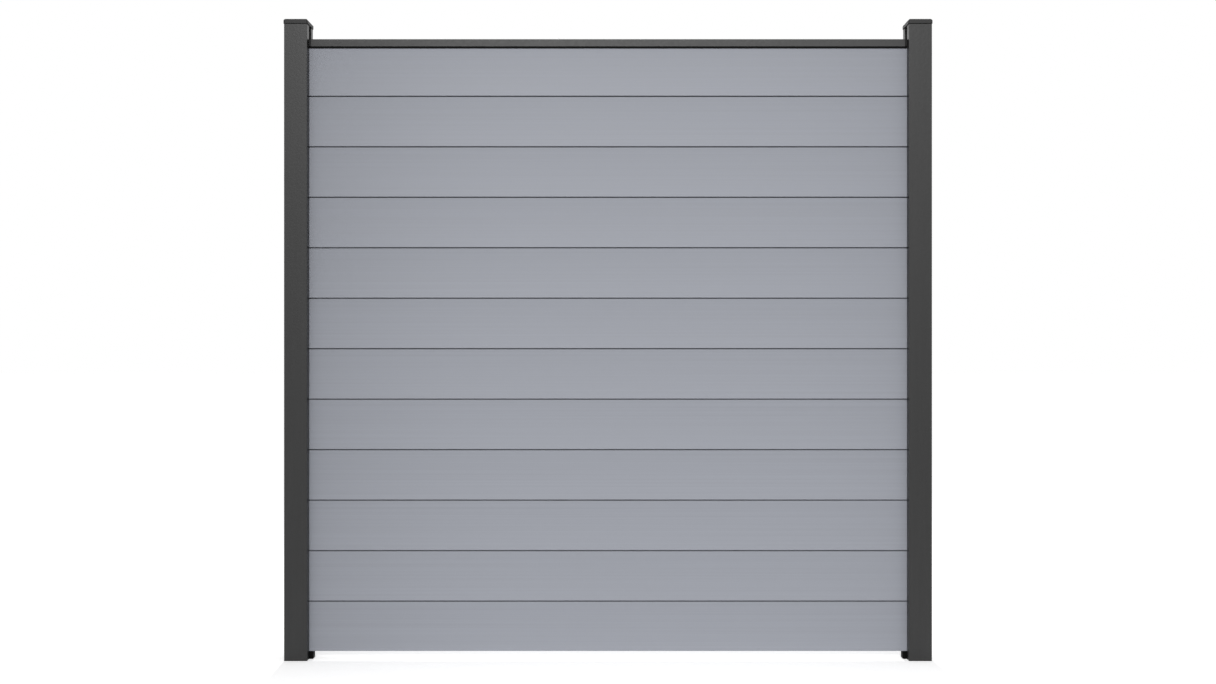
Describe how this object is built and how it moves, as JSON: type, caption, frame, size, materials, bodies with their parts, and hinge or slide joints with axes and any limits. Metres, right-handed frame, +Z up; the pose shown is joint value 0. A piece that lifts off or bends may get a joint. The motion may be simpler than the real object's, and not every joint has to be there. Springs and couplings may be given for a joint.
{
  "type": "pvc fence panel",
  "caption": "Privacy fence panel: pale grey hollow PVC boards stacked between two slotted anthracite aluminium posts, with post caps and a top rail.",
  "frame": {"origin": "on the ground, midway between the two posts, in the middle of the panel's thickness", "axes": "+X along the fence towards the right post, +Y through the panel away from the viewer, +Z up"},
  "size_m": [1.916, 0.072, 1.895],
  "materials": {
    "anthracite_coating": "matt anthracite powder coat on extruded aluminium",
    "grey_pvc": "satin pale grey extruded PVC",
    "anthracite_cap_plastic": "fine matt anthracite moulded plastic",
    "black_plastic": "satin black moulded plastic",
    "black_rubber": "matt black rubber"
  },
  "bodies": {
    "root": {"top_rail": "anthracite_coating", "board_01": "grey_pvc", "board_02": "grey_pvc", "board_03": "grey_pvc", "board_04": "grey_pvc", "board_05": "grey_pvc", "board_06": "grey_pvc", "board_07": "grey_pvc", "board_08": "grey_pvc", "board_09": "grey_pvc", "board_10": "grey_pvc", "board_11": "grey_pvc", "board_12": "grey_pvc", "left_post": "anthracite_coating", "right_post": "anthracite_coating", "left_post_cap": "anthracite_cap_plastic", "right_post_cap": "anthracite_cap_plastic", "front_rail_seal": "black_rubber", "back_rail_seal": "black_rubber", "left_rail_end": "black_plastic", "right_rail_end": "black_plastic", "left_spacer": "black_plastic", "right_spacer": "black_plastic", "left_front_seal": "black_rubber", "left_back_seal": "black_rubber", "right_front_seal": "black_rubber", "right_back_seal": "black_rubber"}
  },
  "joints": []
}
